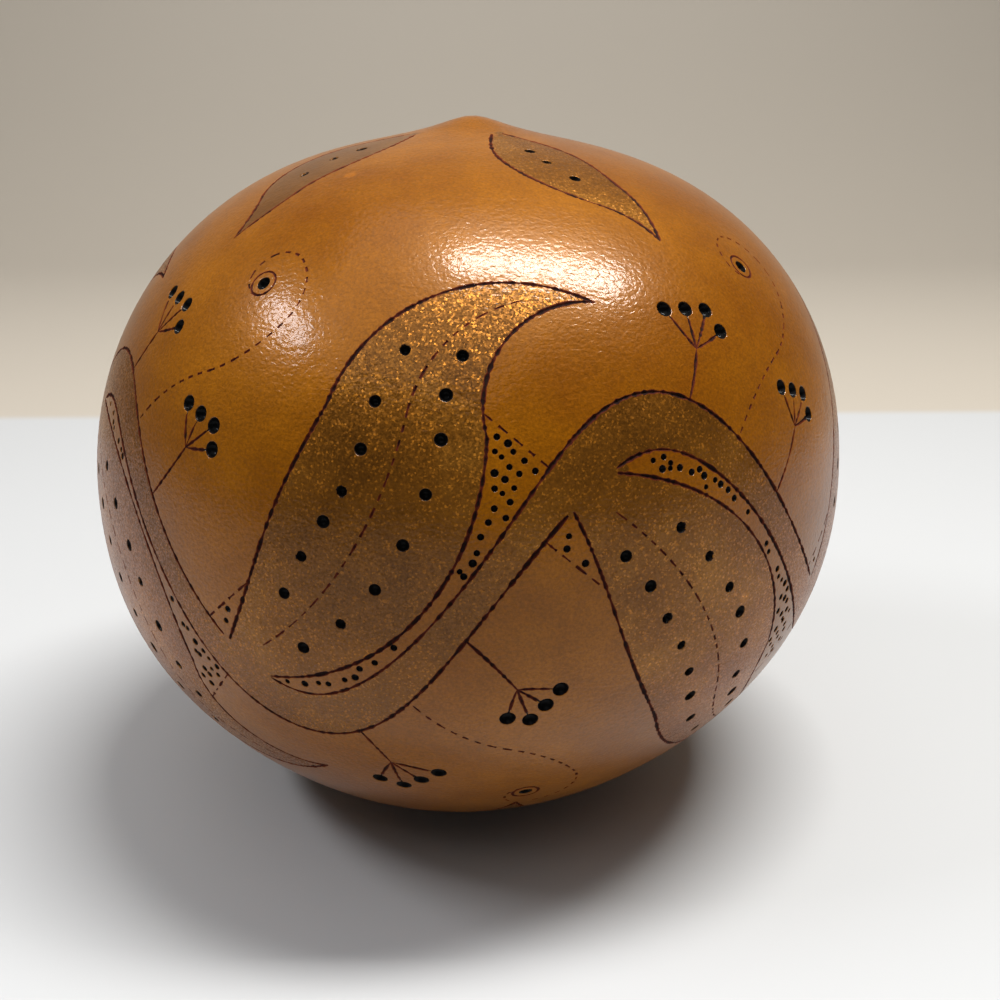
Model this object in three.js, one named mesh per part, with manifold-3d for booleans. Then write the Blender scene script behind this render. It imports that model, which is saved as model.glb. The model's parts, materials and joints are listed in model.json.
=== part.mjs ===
// A carved craft gourd: one round, hard-shelled gourd, 150 mm across.
// It has a low nub where the blossom was, a small sanded flat to stand on,
// and a running leafy vine burned and drilled into its skin.
// Millimetres, +Z up. The origin is the middle of the flat that it stands on.

import * as THREE from 'three';
import { mergeVertices } from 'three/addons/utils/BufferGeometryUtils.js';
import Module from 'manifold-3d';

// Body
const ACROSS = 150;
const CENTRE_HEIGHT = 66.8;
const TOP_RADIUS = 65.4;
const BOTTOM_RADIUS = 67.8;
const SQUARENESS = 2.18;
const LEAN = THREE.MathUtils.degToRad(4.2);
const LUMPS_AROUND = [
  { waves: 3, size: 0.0055, start: -0.7 },
  { waves: 5, size: 0.0032, start: -2.1 },
];
const LUMPS_UPRIGHT = [
  { waves: 3, size: 0.0036, start: 0.73 },
  { waves: 4, size: 0.0067, start: 0.88 },
  { waves: 5, size: 0.005, start: -1.49 },
];
const SEGMENTS = 40;
const RING_STEP = 9;
const NUB_RING_STEP = 2.5;
const NUB_RINGS = 4;

// Nub
const NUB_HEIGHT = 3.4;
const NUB_SPREAD = 6;
const NUB_ROUNDING = 4.5;
const NUB_OFFSET = 1.2;

// Burned pattern: lengths along the skin are turned into angles on a mean ball
const SKIN_RADIUS = 72;
const WALK_STEP = 1.5;
const VINE = { waves: 4, middle: 1, swing: 19, turn: 24, half: 2.7, swell: 1.7, samples: 540 };
const PERIOD = 360 / VINE.waves;
const BIG_LEAF = { root: -0.13, opening: 74, half: 13, neck: 1.5, full: 0.42 };
const SMALL_LEAF = { half: 7.6, neck: 1.2, full: 0.42 };
const TOP_LEAVES = { latitude: 80, count: 4, first: 30, bearing: -90, bend: 28 };
const FOOT_LEAVES = { latitude: -77, count: 5, first: 0, bearing: 90, bend: -28 };
const SPRIGS = [
  { offset: 0.05, stem: 13, opening: 80, reach: 8, berries: 4 },
  { offset: 0.21, stem: 15, opening: 96, reach: 7, berries: 4 },
];
const SPRIG_FAN = 105;
const SPRIG_BEND = 12;

// Burned lines and drilled pits
const LINE = { half: 0.75, depth: 0.8, lift: 0.5, tolerance: 0.36, longest: 16, join: 0.05 };
const PIT = { radius: 1.15, spread: 0.15, depth: 1.0, lift: 0.4, sides: 5, pitch: 7.4 };
const BERRY = { radius: 1.35, depth: 1.1, lift: 0.4, sides: 6 };
const SHORTEST_EDGE = 0.05;

const SKIN_COLOUR = 0x8a4d1c;

const wasm = await Module();
wasm.setup();

const { degToRad } = THREE.MathUtils;

// A repeatable wobble from -1 to 1 for the nth hand-made thing.
function wobble(n) {
  const raw = Math.sin(n * 12.9898 + 4.1) * 43758.5453;
  return (raw - Math.floor(raw)) * 2 - 1;
}

// Height of the nub over a spot this far from its middle.
function nubHeight(distance) {
  const rounded = Math.hypot(distance, NUB_ROUNDING) - NUB_ROUNDING;
  return NUB_HEIGHT * Math.exp(-rounded / NUB_SPREAD);
}

// How much low waves round an axis swell the body, where they are this strong.
function swelling(lumps, angle, strength) {
  const waves = lumps.map((lump) => lump.size * Math.cos(lump.waves * angle - lump.start));
  return 1 + strength * waves.reduce((sum, wave) => sum + wave, 0);
}

// The skin's point in a direction from the body's centre.
function skin(direction) {
  const half = ACROSS / 2;
  const x = direction.x * Math.cos(LEAN) + direction.z * Math.sin(LEAN);
  const up = direction.z * Math.cos(LEAN) - direction.x * Math.sin(LEAN);
  const level = Math.hypot(x, direction.y);
  const tall = up > 0 ? TOP_RADIUS : BOTTOM_RADIUS;
  const sum = (level / half) ** SQUARENESS + (Math.abs(up) / tall) ** SQUARENESS;
  let reach = sum ** (-1 / SQUARENESS);
  const around = Math.atan2(direction.x, -direction.y);
  const upright = Math.atan2(direction.z, direction.x);
  reach *= swelling(LUMPS_AROUND, around, level ** 2);
  reach *= swelling(LUMPS_UPRIGHT, upright, direction.x ** 2 + direction.z ** 2);
  if (direction.z > 0) {
    reach += nubHeight(Math.hypot(direction.x * reach - NUB_OFFSET, direction.y * reach));
  }
  const point = direction.clone().multiplyScalar(reach);
  if (point.z < -CENTRE_HEIGHT) {
    point.multiplyScalar(-CENTRE_HEIGHT / point.z);
  }
  point.z += CENTRE_HEIGHT;
  return point;
}

// The body: a ball of rings, closer together round the nub, moved out to the skin.
function bodyGeometry() {
  const profile = [];
  const span = 180 - NUB_RINGS * NUB_RING_STEP;
  const rings = Math.round(span / RING_STEP);
  for (let i = 0; i <= rings; i += 1) {
    profile.push(-90 + (span * i) / rings);
  }
  for (let i = 1; i <= NUB_RINGS; i += 1) {
    profile.push(-90 + span + i * NUB_RING_STEP);
  }
  const ball = new THREE.LatheGeometry(
    profile.map((angle) => {
      const level = Math.abs(angle) === 90 ? 0 : Math.cos(degToRad(angle));
      return new THREE.Vector2(level, Math.sin(degToRad(angle)));
    }),
    SEGMENTS,
  );
  ball.rotateX(Math.PI / 2);
  const place = ball.attributes.position;
  const point = new THREE.Vector3();
  for (let i = 0; i < place.count; i += 1) {
    point.fromBufferAttribute(place, i).normalize();
    const moved = skin(point);
    place.setXYZ(i, moved.x, moved.y, moved.z);
  }
  return ball;
}

// A direction from its longitude (0 at the front, growing to the right) and latitude.
function directionAt(longitude, latitude) {
  const around = degToRad(longitude);
  const up = degToRad(latitude);
  return new THREE.Vector3(
    Math.sin(around) * Math.cos(up),
    -Math.cos(around) * Math.cos(up),
    Math.sin(up),
  );
}

// A step on the ball: where it stands and the way that it faces.
function turned(stand, degrees) {
  const angle = degToRad(degrees);
  const left = new THREE.Vector3().crossVectors(stand.at, stand.facing);
  const facing = stand.facing.clone().multiplyScalar(Math.cos(angle));
  facing.addScaledVector(left, Math.sin(angle));
  return { at: stand.at.clone(), facing };
}

// Facing by compass: 0 is to the right, 90 is up towards the nub.
function standAt(longitude, latitude, bearing) {
  const at = directionAt(longitude, latitude);
  const right = new THREE.Vector3(-at.y, at.x, 0).normalize();
  return turned({ at, facing: right }, bearing);
}

// Moves forward by an angle along the ball.
function stepped(stand, angle) {
  const at = stand.at.clone().multiplyScalar(Math.cos(angle));
  at.addScaledVector(stand.facing, Math.sin(angle));
  const facing = stand.facing.clone().multiplyScalar(Math.cos(angle));
  facing.addScaledVector(stand.at, -Math.sin(angle));
  return { at, facing };
}

// Walks over the skin in legs, each with a length in mm and a bend in degrees to the left.
function walk(start, legs) {
  const path = [start];
  for (const leg of legs) {
    const count = Math.max(1, Math.round(leg.length / WALK_STEP));
    for (let i = 0; i < count; i += 1) {
      const next = stepped(path[path.length - 1], leg.length / count / SKIN_RADIUS);
      path.push(turned(next, leg.bend / count));
    }
  }
  return path;
}

// The vine: a wave that runs right round the gourd.
function makeVine() {
  const path = [];
  const halves = [];
  for (let i = 0; i < VINE.samples; i += 1) {
    const longitude = -180 + (360 * i) / VINE.samples;
    const wave = degToRad(VINE.waves * (longitude - VINE.turn));
    const at = directionAt(longitude, VINE.middle + VINE.swing * Math.cos(wave));
    path.push({ at, facing: new THREE.Vector3() });
    halves.push(VINE.half + VINE.swell * Math.cos(wave) ** 2);
  }
  path.forEach((stand, i) => {
    const next = path[(i + 1) % path.length].at;
    const last = path[(i + path.length - 1) % path.length].at;
    stand.facing.subVectors(next, last);
    stand.facing.addScaledVector(stand.at, -stand.facing.dot(stand.at)).normalize();
  });
  return { path, halves, closed: true };
}

// Where a twig leaves the vine, at a longitude.
function rootOn(vine, longitude) {
  const share = (((longitude + 180) % 360) + 360) % 360 / 360;
  return vine.path[Math.round(share * VINE.samples) % VINE.samples];
}

// A leaf: round near its stalk and drawn out to a point.
function makeLeaf(start, legs, sizes) {
  const path = walk(start, legs);
  const power = Math.log(0.5) / Math.log(sizes.full);
  const halves = path.map((stand, i) => {
    const along = i / (path.length - 1);
    return sizes.neck * (1 - along) + sizes.half * Math.sin(Math.PI * along ** power) ** 1.25;
  });
  return { path, halves, closed: false };
}

// Big leaves: one in each hollow of the vine, above and below it by turns.
function makeBigLeaves(vine) {
  const leaves = [];
  for (let i = 0; i < VINE.waves; i += 1) {
    for (const side of [1, -1]) {
      const n = leaves.length * 4;
      const hollow = VINE.turn + (i + (side > 0 ? 0.5 : 0)) * PERIOD;
      const root = rootOn(vine, hollow + BIG_LEAF.root * PERIOD);
      const start = turned(root, side * (BIG_LEAF.opening + 5 * wobble(n)));
      const legs = [
        { length: 12, bend: side * 10 },
        { length: 42, bend: side * (34 + 8 * wobble(n + 1)) },
        { length: 38 + 3 * wobble(n + 3), bend: -side * (86 + 14 * wobble(n + 2)) },
      ];
      const half = BIG_LEAF.half + 0.8 * wobble(n + 3);
      leaves.push(makeLeaf(start, legs, { ...BIG_LEAF, half }));
    }
  }
  return leaves;
}

// Small leaves in a ring round the nub or round the foot.
function makeRing(ring) {
  const leaves = [];
  for (let i = 0; i < ring.count; i += 1) {
    const longitude = ring.first + (360 * i) / ring.count;
    const start = standAt(longitude, ring.latitude, ring.bearing);
    const legs = [
      { length: 12, bend: 0 },
      { length: 20, bend: ring.bend },
      { length: 14, bend: -ring.bend },
    ];
    leaves.push(makeLeaf(start, legs, SMALL_LEAF));
  }
  return leaves;
}

// A direction this far to the left of a stand, in mm along the skin.
function aside(stand, distance) {
  const angle = distance / SKIN_RADIUS;
  const left = new THREE.Vector3().crossVectors(stand.at, stand.facing);
  return stand.at.clone().multiplyScalar(Math.cos(angle)).addScaledVector(left, Math.sin(angle));
}

// True where a direction lies within a shape.
function covers(shape, direction) {
  return shape.path.some((stand, i) => {
    const reach = (shape.halves[i] - LINE.join) / SKIN_RADIUS;
    return reach > 0 && stand.at.dot(direction) > Math.cos(reach);
  });
}

// Both edges of a shape, in the runs that no other shape covers.
function edgesOf(shape, shapes) {
  const others = shapes.filter((other) => other !== shape);
  const runs = [];
  for (const side of [1, -1]) {
    const edge = shape.path.map((stand, i) => aside(stand, side * shape.halves[i]));
    const hidden = edge.map((direction) => others.some((other) => covers(other, direction)));
    const first = shape.closed ? hidden.indexOf(true) : 0;
    let run = [];
    for (let k = 0; k < edge.length; k += 1) {
      const i = (first + k) % edge.length;
      if (hidden[i]) {
        runs.push(run);
        run = [];
      } else {
        run.push(edge[i]);
      }
    }
    runs.push(run);
  }
  return runs.filter((run) => run.length > 3);
}

// Keeps only the points that a run needs to stay within the line's tolerance.
function thinned(run) {
  const points = run.map((direction) => skin(direction));
  const kept = [0];
  const chord = new THREE.Line3();
  const foot = new THREE.Vector3();
  for (let end = 2; end < points.length; end += 1) {
    const begin = kept[kept.length - 1];
    chord.set(points[begin], points[end]);
    const strays = points.slice(begin + 1, end).some((point) => {
      chord.closestPointToPoint(point, true, foot);
      return foot.distanceTo(point) > LINE.tolerance;
    });
    if (strays || chord.distance() > LINE.longest) {
      kept.push(end - 1);
    }
  }
  kept.push(points.length - 1);
  return kept.map((i) => run[i]);
}

// The skin's point, its outward normal and a frame that looks along a path.
function frameOn(direction, along) {
  const ahead = along.clone().addScaledVector(direction, -along.dot(direction)).normalize();
  const left = new THREE.Vector3().crossVectors(direction, ahead);
  const small = 0.01;
  const point = skin(direction);
  const east = skin(direction.clone().addScaledVector(ahead, small).normalize()).sub(point);
  const north = skin(direction.clone().addScaledVector(left, small).normalize()).sub(point);
  const normal = new THREE.Vector3().crossVectors(east, north).normalize();
  const across = new THREE.Vector3().crossVectors(normal, east).normalize();
  return { point, normal, across };
}

// A three-cornered bar along a run, point down, that cuts one burned line.
function lineCutter(run) {
  const rim = LINE.half * (1 + LINE.lift / LINE.depth);
  const corners = [];
  run.forEach((direction, i) => {
    const next = run[Math.min(i + 1, run.length - 1)];
    const last = run[Math.max(i - 1, 0)];
    const { point, normal, across } = frameOn(direction, next.clone().sub(last));
    const top = point.clone().addScaledVector(normal, LINE.lift);
    corners.push(top.clone().addScaledVector(across, rim));
    corners.push(point.clone().addScaledVector(normal, -LINE.depth));
    corners.push(top.clone().addScaledVector(across, -rim));
  });
  const faces = [0, 1, 2];
  for (let i = 0; i + 1 < run.length; i += 1) {
    for (let side = 0; side < 3; side += 1) {
      const a = 3 * i + side;
      const b = 3 * i + ((side + 1) % 3);
      faces.push(a, a + 3, b, b, a + 3, b + 3);
    }
  }
  const end = 3 * (run.length - 1);
  faces.push(end, end + 2, end + 1);
  const bar = new THREE.BufferGeometry().setFromPoints(corners);
  bar.setIndex(faces);
  return bar;
}

// A cone, point down, that cuts one drilled pit.
function pitCutter(direction, radius, kind) {
  const { point, normal } = frameOn(direction, new THREE.Vector3(0.3, 0.2, 1));
  const height = kind.depth + kind.lift;
  const cone = new THREE.ConeGeometry(radius * (height / kind.depth), height, kind.sides);
  cone.rotateX(Math.PI);
  cone.translate(0, kind.lift - height / 2, 0);
  const up = new THREE.Vector3(0, 1, 0);
  cone.applyQuaternion(new THREE.Quaternion().setFromUnitVectors(up, normal));
  cone.translate(point.x, point.y, point.z);
  return cone;
}

// Pits in rows along a leaf: a row each side of a big one's rib, one row on a small one.
function pitsOn(leaf, rows, seed) {
  const pits = [];
  rows.forEach((row, r) => {
    const first = (rows.length > 1 ? 16 : 12) + (PIT.pitch / 2) * r;
    const last = leaf.path.length * WALK_STEP - (rows.length > 1 ? 24 : 16);
    for (let along = first; along < last; along += PIT.pitch) {
      const n = seed + pits.length;
      const i = Math.floor(along / WALK_STEP);
      const direction = aside(leaf.path[i], row * leaf.halves[i] + 0.5 * wobble(n));
      pits.push({ direction, radius: PIT.radius + PIT.spread * wobble(n + 0.5), kind: PIT });
    }
  });
  return pits;
}

// Berries at the ends of fanned stalks, outside each bend of the vine.
function berriesOn(vine) {
  const pits = [];
  for (let i = 0; i < VINE.waves; i += 1) {
    for (const side of [1, -1]) {
      const bend = VINE.turn + (i + (side > 0 ? 0 : 0.5)) * PERIOD;
      for (const sprig of SPRIGS) {
        const root = rootOn(vine, bend + sprig.offset * PERIOD);
        const start = turned(root, side * sprig.opening);
        const stem = walk(start, [{ length: sprig.stem, bend: side * SPRIG_BEND }]);
        for (let k = 0; k < sprig.berries; k += 1) {
          const fan = SPRIG_FAN * (k / (sprig.berries - 1) - 0.5);
          const reach = sprig.reach * (k % 2 ? 1 : 0.86);
          const twig = turned(stem[stem.length - 1], fan);
          const end = walk(twig, [{ length: reach, bend: -fan / 4 }]).pop();
          pits.push({ direction: end.at, radius: BERRY.radius, kind: BERRY });
        }
      }
    }
  }
  return pits;
}

// Turns a closed geometry into a solid that can be cut.
function toSolid(geometry) {
  geometry.deleteAttribute('normal');
  geometry.deleteAttribute('uv');
  const merged = mergeVertices(geometry, 1e-4);
  const mesh = new wasm.Mesh({
    numProp: 3,
    vertProperties: new Float32Array(merged.attributes.position.array),
    triVerts: new Uint32Array(merged.index.array),
  });
  return new wasm.Manifold(mesh);
}

// Draws together the two ends of an edge, where that leaves the surface whole.
function drawTogether(keep, drop, faces, fans) {
  const ring = (corner) => new Set([...fans[corner]].flatMap((f) => faces[f]));
  const kept = ring(keep);
  const shared = [...ring(drop)].filter((corner) => kept.has(corner));
  if (shared.length !== 4) {
    return false;
  }
  for (const f of fans[drop]) {
    if (faces[f].includes(keep)) {
      faces[f].forEach((corner) => corner !== drop && fans[corner].delete(f));
      faces[f] = null;
    } else {
      faces[f] = faces[f].map((corner) => (corner === drop ? keep : corner));
      fans[keep].add(f);
    }
  }
  fans[drop].clear();
  return true;
}

// Turns a solid back into a geometry, without the tiny edges that cuts leave near old corners.
function toGeometry(solid) {
  const mesh = solid.getMesh();
  const points = [];
  for (let i = 0; i < mesh.vertProperties.length; i += 3) {
    points.push(new THREE.Vector3().fromArray(mesh.vertProperties, i));
  }
  const faces = [];
  const fans = points.map(() => new Set());
  for (let i = 0; i < mesh.triVerts.length; i += 3) {
    const face = [...mesh.triVerts.subarray(i, i + 3)];
    face.forEach((corner) => fans[corner].add(faces.length));
    faces.push(face);
  }
  for (let f = 0; f < faces.length; f += 1) {
    for (let side = 0; faces[f] && side < 3; side += 1) {
      const [keep, drop] = [faces[f][side], faces[f][(side + 1) % 3]];
      if (points[keep].distanceTo(points[drop]) < SHORTEST_EDGE) {
        drawTogether(keep, drop, faces, fans);
      }
    }
  }
  const geometry = new THREE.BufferGeometry().setFromPoints(points);
  geometry.setIndex(faces.filter((face) => face).flat());
  return geometry;
}

function carvedGourd() {
  const vine = makeVine();
  const bigLeaves = makeBigLeaves(vine);
  const smallLeaves = [...makeRing(TOP_LEAVES), ...makeRing(FOOT_LEAVES)];
  const shapes = [vine, ...bigLeaves, ...smallLeaves];
  const cutters = [];
  for (const shape of shapes) {
    for (const run of edgesOf(shape, shapes)) {
      cutters.push(lineCutter(thinned(run)));
    }
  }
  const pits = berriesOn(vine);
  bigLeaves.forEach((leaf, i) => pits.push(...pitsOn(leaf, [-0.42, 0.42], 100 * (i + 1))));
  smallLeaves.forEach((leaf, i) => pits.push(...pitsOn(leaf, [0], 100 * (i + 11))));
  for (const pit of pits) {
    cutters.push(pitCutter(pit.direction, pit.radius, pit.kind));
  }
  const body = bodyGeometry();
  body.computeBoundingBox();
  const middle = body.boundingBox.getCenter(new THREE.Vector3());
  let solid = toSolid(body);
  for (const cutter of cutters) {
    solid = solid.subtract(toSolid(cutter));
  }
  return toGeometry(solid).translate(-middle.x, -middle.y, 0);
}

const skinMaterial = new THREE.MeshStandardMaterial({
  color: SKIN_COLOUR,
  roughness: 0.35,
  metalness: 0,
  flatShading: true,
});
const gourd = new THREE.Mesh(carvedGourd(), skinMaterial);
gourd.name = 'gourd';

const part = new THREE.Group();
part.add(gourd);

export default part;
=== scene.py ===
"""A carved craft gourd: dyed, varnished, burned, drilled and washed with bronze.

The body is one round gourd with a low nub and a small flat to stand on. A running
leafy vine is burned into its skin. All pattern sizes are in millimetres on the skin,
and become metres where the meshes are made.
"""
import json
import logging
import math
from dataclasses import dataclass, field
from enum import Enum

import bmesh
import bpy
import numpy as np
from bpy.types import Collection, Material, Mesh, Node, NodeSocket, NodeTree, Object
from mathutils import Matrix, Vector

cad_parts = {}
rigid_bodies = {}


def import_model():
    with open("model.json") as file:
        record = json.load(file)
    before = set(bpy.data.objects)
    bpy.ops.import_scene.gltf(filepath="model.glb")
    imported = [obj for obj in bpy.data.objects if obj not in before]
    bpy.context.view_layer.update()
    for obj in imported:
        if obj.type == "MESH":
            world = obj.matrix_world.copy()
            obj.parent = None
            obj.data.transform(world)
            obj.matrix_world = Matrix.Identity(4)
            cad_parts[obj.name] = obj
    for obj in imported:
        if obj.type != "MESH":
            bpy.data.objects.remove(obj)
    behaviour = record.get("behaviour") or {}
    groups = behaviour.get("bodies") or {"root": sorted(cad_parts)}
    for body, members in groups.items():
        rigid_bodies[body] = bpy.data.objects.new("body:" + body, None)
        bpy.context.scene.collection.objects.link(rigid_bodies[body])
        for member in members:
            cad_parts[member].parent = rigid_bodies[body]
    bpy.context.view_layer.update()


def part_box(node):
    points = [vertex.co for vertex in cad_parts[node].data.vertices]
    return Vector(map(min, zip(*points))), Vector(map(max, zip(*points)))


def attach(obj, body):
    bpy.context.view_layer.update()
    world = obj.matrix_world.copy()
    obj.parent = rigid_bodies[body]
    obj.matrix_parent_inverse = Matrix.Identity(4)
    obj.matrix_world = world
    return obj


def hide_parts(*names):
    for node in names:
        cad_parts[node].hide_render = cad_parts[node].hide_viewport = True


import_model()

Array = np.ndarray
Pairs = tuple[tuple[float, float], ...]

LOG = logging.getLogger("gourd")
MM = 0.001
NODE = "gourd"
BODY = "root"
# The pattern is laid out on a ball of this radius, in steps of this length, both in mm.
SKIN_RADIUS = 72.0
WALK_STEP = 1.5
SEED = 7
DASH_SEED = 1000
# A face that lies deeper than this under the skin, in mm, is in a cut.
CUT_DEPTH = 0.02
# The burning pen's groove: from its floor up, half its width and its height there, as
# shares of half the line's width.
GROOVE = {-2: (0.0, -0.75), -1: (0.5, -0.5), 0: (1.13, 0.12), 1: (0.9, 0.9), 2: (0.0, 1.0)}
# A drilled pit's rings and a poked dot's, from the floor up: radius and height as shares.
BOWL = ((0.5, -0.92), (0.82, -0.6), (0.93, -0.25), (1.02, -0.09), (1.3, 0.12), (1.3, 0.5))
DOT = ((0.62, -0.85), (0.98, -0.2), (1.3, 0.25), (1.3, 0.5))


class Wash(Enum):
    """What is brushed over the dyed skin inside a shape."""

    BARE = 0
    BRONZE = 1
    BROWN = 2
    BURNED = 3
    DRILLED = 4


class Pen(Enum):
    """How the burning pen is pressed: its line's width in mm, its beads and its gaps."""

    OUTLINE = (0.66, 0.45, 0.0)
    SMALL_OUTLINE = (0.56, 0.45, 0.0)
    RIB = (0.42, 0.3, 0.45)
    STALK = (0.58, 0.35, 0.0)
    TENDRIL = (0.44, 0.3, 0.3)
    RING = (0.55, 0.2, 0.0)
    CLOSING = (0.44, 0.45, 0.4)

    def __init__(self, width: float, beads: float, gaps: float) -> None:
        """Keep the width, how uneven it is and how ragged its dashes are, both as shares."""
        self.width, self.beads, self.gaps = width, beads, gaps


def unit(vectors: Array) -> Array:
    """Return the vectors at length one."""
    return vectors / np.linalg.norm(vectors, axis=-1, keepdims=True)


def wobble(number: float) -> float:
    """Return a repeatable draw from -1 to 1 for the nth hand-made thing."""
    raw = math.sin(number * 12.9898 + 4.1) * 43758.5453
    return (raw - math.floor(raw)) * 2 - 1


def linear(hex_colour: str) -> tuple[float, ...]:
    """Turn an sRGB hex colour, such as "8a4d1c", into linear light with an alpha of one."""
    parts = (int(hex_colour[i : i + 2], 16) / 255 for i in (0, 2, 4))
    return *(p / 12.92 if p <= 0.04045 else ((p + 0.055) / 1.055) ** 2.4 for p in parts), 1.0


def as_mesh(form: bmesh.types.BMesh, name: str) -> Mesh:
    """Turn a bmesh into a mesh and free it."""
    mesh = bpy.data.meshes.new(name)
    form.to_mesh(mesh)
    form.free()
    return mesh


def add_object(name: str, data: bpy.types.ID) -> Object:
    """Add an object to the scene."""
    thing = bpy.data.objects.new(name, data)
    bpy.context.scene.collection.objects.link(thing)
    return thing


@dataclass(frozen=True)
class Lump:
    """One low wave in the gourd's roundness."""

    waves: int
    size: float
    start: float


@dataclass(frozen=True)
class GourdForm:
    """The gourd's outer form, as a formula from directions to points in mm."""

    across: float = 150.0
    centre_height: float = 66.8
    top_radius: float = 65.4
    bottom_radius: float = 67.8
    squareness: float = 2.18
    lean: float = math.radians(4.2)
    nub_height: float = 3.4
    nub_spread: float = 6.0
    nub_rounding: float = 4.5
    nub_offset: float = 1.2
    around: tuple[Lump, ...] = (Lump(3, 0.0055, -0.7), Lump(5, 0.0032, -2.1))
    upright: tuple[Lump, ...] = (Lump(3, 0.0036, 0.73), Lump(4, 0.0067, 0.88),
                                 Lump(5, 0.005, -1.49))

    def point(self, directions: Array, flat: bool = True) -> Array:
        """Return the skin's points, with z measured up from the resting flat.

        Args:
            directions: unit vectors from the body's centre.
            flat: whether the resting flat is cut.

        Returns:
            Points in mm.
        """
        x, y, z = directions.T
        side = x * math.cos(self.lean) + z * math.sin(self.lean)
        up = z * math.cos(self.lean) - x * math.sin(self.lean)
        level = np.hypot(side, y)
        tall = np.where(up > 0, self.top_radius, self.bottom_radius)
        power = self.squareness
        rounded = (level / (self.across / 2)) ** power + (np.abs(up) / tall) ** power
        reach = rounded ** (-1 / power)
        for lumps, angle, strength in ((self.around, np.arctan2(x, -y), level**2),
                                       (self.upright, np.arctan2(z, x), x**2 + z**2)):
            waves = sum(lump.size * np.cos(lump.waves * angle - lump.start) for lump in lumps)
            reach = reach * (1 + strength * waves)
        from_nub = np.hypot(x * reach - self.nub_offset, y * reach)
        slope = np.hypot(from_nub, self.nub_rounding) - self.nub_rounding
        reach = reach + np.where(z > 0, self.nub_height * np.exp(-slope / self.nub_spread), 0)
        if flat:
            below = z * reach < -self.centre_height
            reach = np.where(below, -self.centre_height / np.minimum(z, -0.1), reach)
        points = directions * reach[:, None]
        points[:, 2] += self.centre_height
        return points

    def normal(self, directions: Array) -> Array:
        """Return the outward normals of the skin, without the resting flat."""
        step = 1e-3
        aside = unit(np.cross(directions, np.array([0.36, 0.48, 0.8])))
        across = np.cross(directions, aside)
        first = self.point(unit(directions + step * aside), False)
        second = self.point(unit(directions + step * across), False)
        base = self.point(directions, False)
        return unit(np.cross(first - base, second - base))

    def directions(self, points: Array) -> Array:
        """Return the directions from the body's centre to some points."""
        return unit(points - np.array([0.0, 0.0, self.centre_height]))


@dataclass
class Stand:
    """A place on the ball and the way that it faces, both unit vectors."""

    at: Array
    facing: Array

    def turned(self, degrees: float) -> "Stand":
        """Return the stand turned to its left."""
        angle = math.radians(degrees)
        left = np.cross(self.at, self.facing)
        return Stand(self.at, self.facing * math.cos(angle) + left * math.sin(angle))

    def stepped(self, length: float) -> "Stand":
        """Return the stand moved forward by a length in mm along the skin."""
        angle = length / SKIN_RADIUS
        at = self.at * math.cos(angle) + self.facing * math.sin(angle)
        return Stand(at, self.facing * math.cos(angle) - self.at * math.sin(angle))

    def walk(self, legs: Pairs) -> list["Stand"]:
        """Walk over the skin.

        Args:
            legs: each leg's length in mm and its bend in degrees to the left.

        Returns:
            The stands passed, with the first.
        """
        path = [self]
        for length, bend in legs:
            count = max(1, round(length / WALK_STEP))
            for _ in range(count):
                path.append(path[-1].stepped(length / count).turned(bend / count))
        return path


def stand_at(longitude: float, latitude: float, bearing: float = 0.0) -> Stand:
    """Return a stand by compass.

    Args:
        longitude: degrees, 0 at the front and growing to the right.
        latitude: degrees up towards the nub.
        bearing: degrees, 0 to the right and 90 towards the nub.

    Returns:
        The stand.
    """
    around, up = math.radians(longitude), math.radians(latitude)
    level = math.cos(up)
    at = np.array([math.sin(around) * level, -math.cos(around) * level, math.sin(up)])
    right = unit(np.array([-at[1], at[0], 0.0]))
    return Stand(at, right).turned(bearing)


@dataclass
class Band:
    """A shape with a spine and a half width along it."""

    path: list[Stand]
    halves: Array
    wash: Wash
    closed: bool = False

    def __post_init__(self) -> None:
        """Keep the spine's places in one array."""
        self.spine = np.array([stand.at for stand in self.path])

    def aside(self, index: int, distance: float) -> Array:
        """Return a direction this many mm to the left of the spine at a stand."""
        stand = self.path[index]
        return stand.turned(90).stepped(distance).at

    def edge(self, side: int) -> Array:
        """Return the directions of the left (1) or right (-1) edge."""
        return np.array([self.aside(i, side * half) for i, half in enumerate(self.halves)])

    def depth(self, directions: Array) -> Array:
        """Return how far inside the shape some directions are, in mm."""
        nearness = directions @ self.spine.T
        nearest = nearness.argmax(axis=1)
        apart = np.arccos(np.clip(nearness.max(axis=1), -1, 1)) * SKIN_RADIUS
        return self.halves[nearest] - apart

    def lateral(self, directions: Array) -> Array:
        """Return how far to the left of the spine some directions are, as sines."""
        left = np.cross(self.spine, [stand.facing for stand in self.path])
        nearest = (directions @ self.spine.T).argmax(axis=1)
        return np.sum(directions * left[nearest], axis=1)


@dataclass
class BurnedLine:
    """A line drawn with the burning pen: where it runs and how it is pressed."""

    course: Array
    pen: Pen
    ring: bool = False


@dataclass
class Pit:
    """A drilled or poked hole."""

    direction: Array
    radius: float
    depth: float


@dataclass(frozen=True)
class Sprig:
    """Where a sprig leaves the vine, as a share of a wave, and its stalks in mm and degrees."""

    offset: float
    stem: float
    opening: float
    reach: float
    fan: float = 105
    berries: int = 4


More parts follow.
